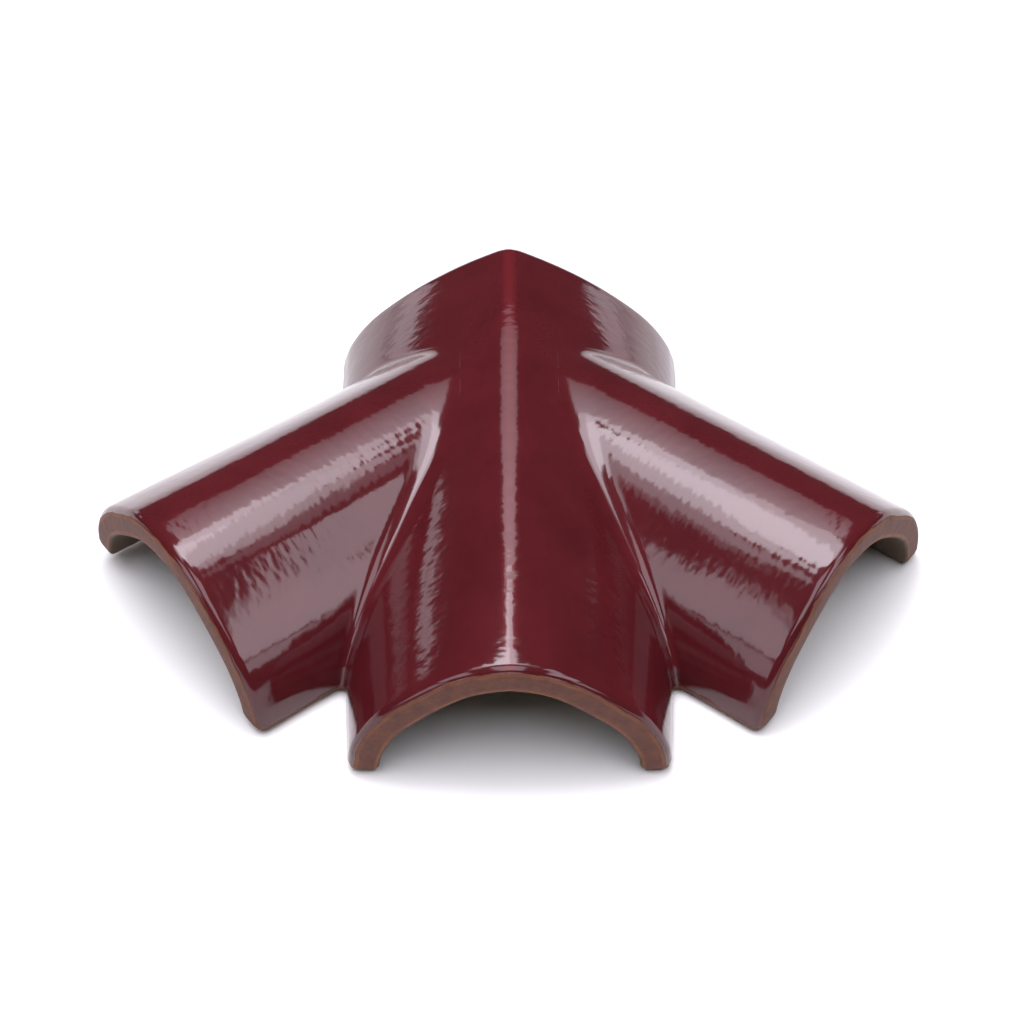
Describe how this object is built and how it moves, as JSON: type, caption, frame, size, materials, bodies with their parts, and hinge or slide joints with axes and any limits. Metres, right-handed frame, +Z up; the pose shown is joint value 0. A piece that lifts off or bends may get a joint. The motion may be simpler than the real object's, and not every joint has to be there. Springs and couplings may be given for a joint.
{
  "type": "three-way ridge apex tile",
  "caption": "Glazed clay roof tile for the apex of a ridge: a hollow arched barrel with a wide back mouth, a front arm and two splayed side arms, open below.",
  "frame": {"origin": "middle of the tile's box, on the plane its feet stand on", "axes": "+Z up, +Y to the back mouth, -Y along the front arm, +X to the right-hand side arm as seen from the front"},
  "size_m": [0.5514, 0.377, 0.1165],
  "materials": {
    "glazed_clay": "high-gloss wine-red glaze over brown clay, bare clay on the end faces, the lower edges and the inside"
  },
  "bodies": {
    "root": {"ridge_apex_tile": "glazed_clay"}
  },
  "joints": []
}
